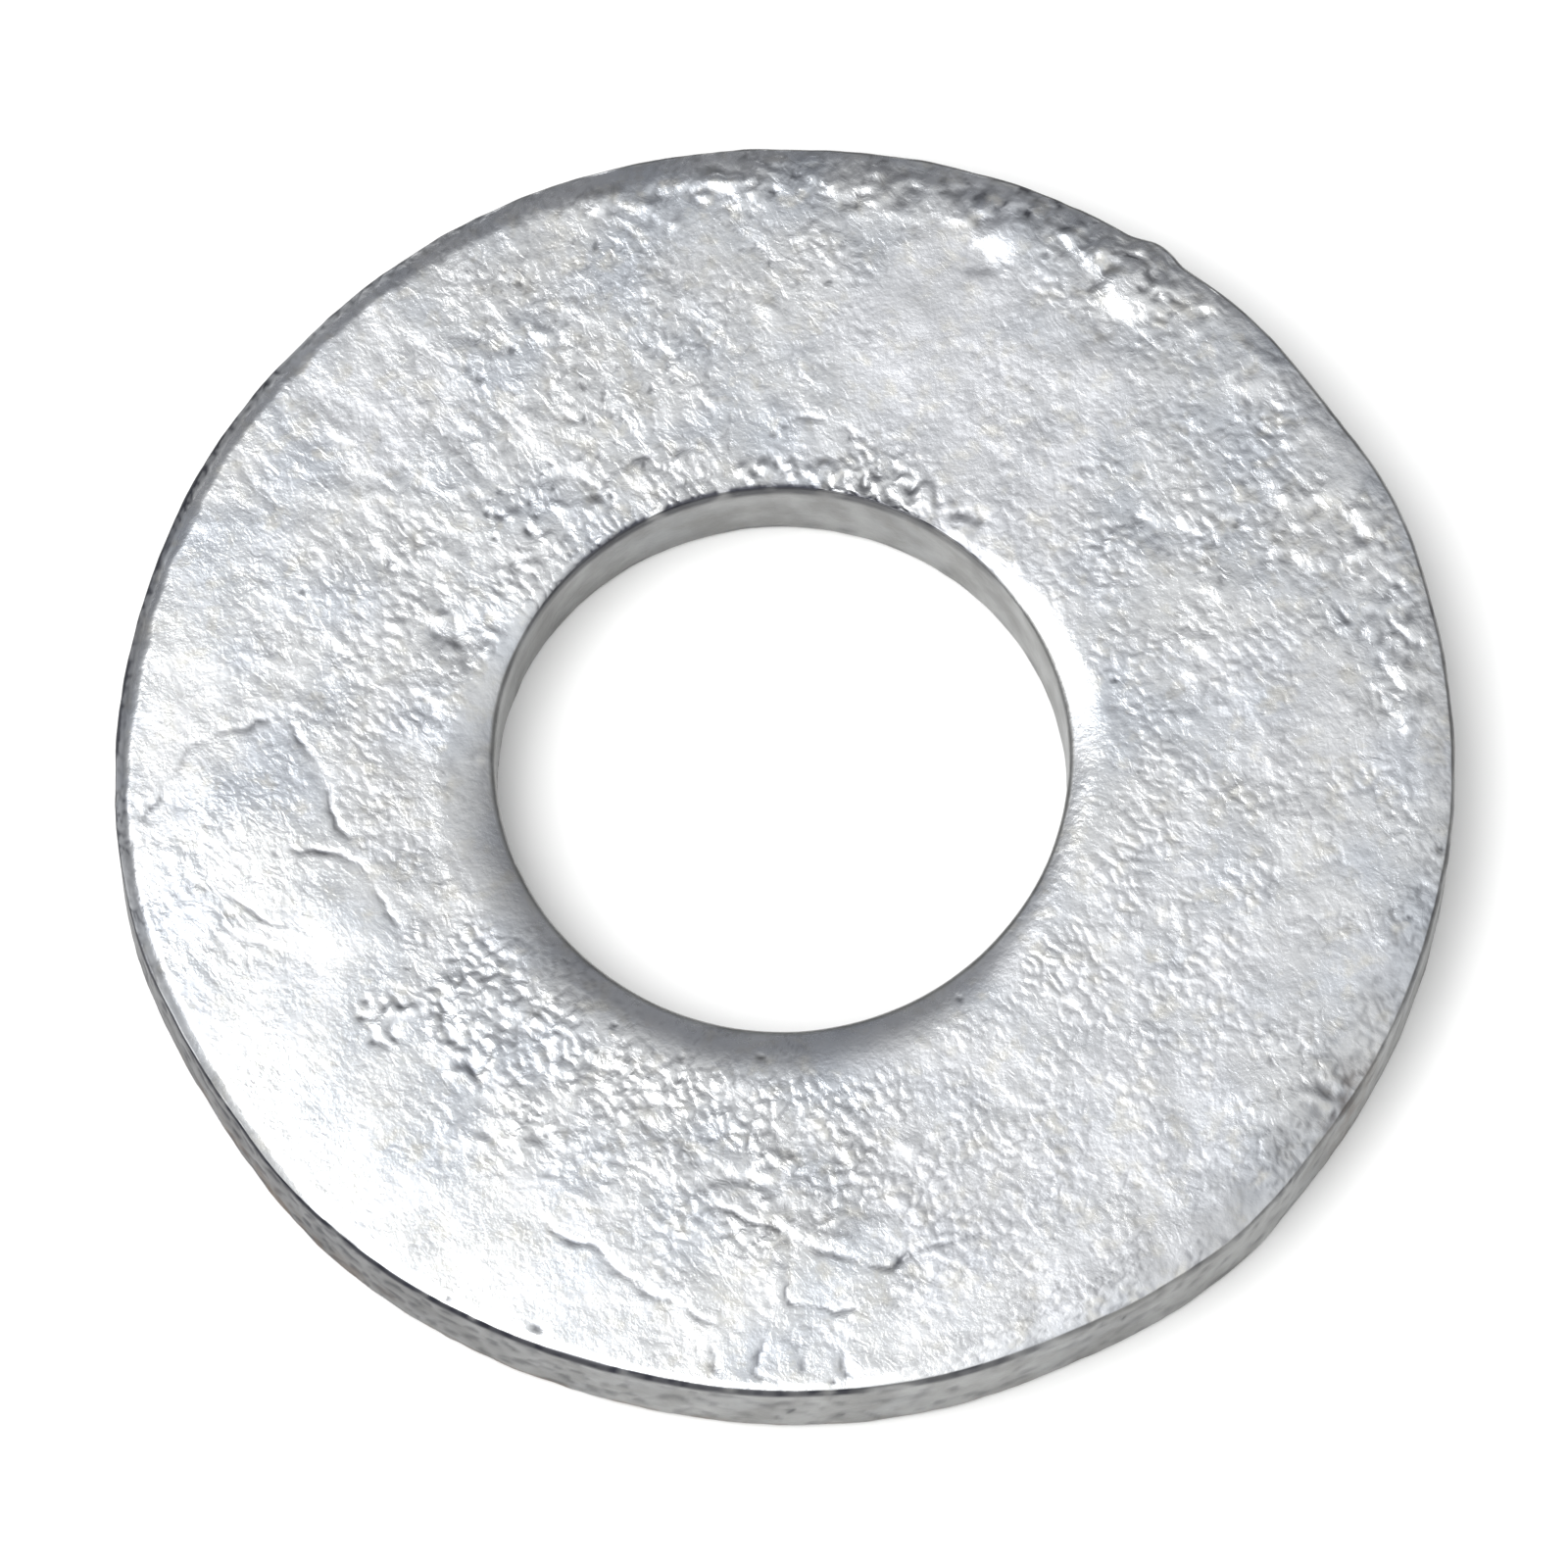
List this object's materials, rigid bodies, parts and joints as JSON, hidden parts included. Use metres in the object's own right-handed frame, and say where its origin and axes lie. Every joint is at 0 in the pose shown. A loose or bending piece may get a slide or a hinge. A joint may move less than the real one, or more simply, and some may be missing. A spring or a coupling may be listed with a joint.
{
  "type": "flat washer",
  "caption": "Flat round washer with a plain central hole, stamped steel under a lumpy hot-dip zinc coating, for a 3/8 inch bolt.",
  "frame": {"origin": "centre of the hole on the lower bearing face", "axes": "+Z along the hole, out of the face whose edges rolled over in the stamping; +X and +Y lie in the bearing face"},
  "size_m": [0.0256, 0.0256, 0.0021],
  "materials": {
    "mild_steel": "as rolled, dull, wetted by the zinc",
    "hot_dip_zinc": "hot-dip galvanised, bright and wrinkled, with frosty patches"
  },
  "bodies": {
    "root": {"steel_core": "mild_steel", "zinc_coating": "hot_dip_zinc"}
  },
  "joints": []
}
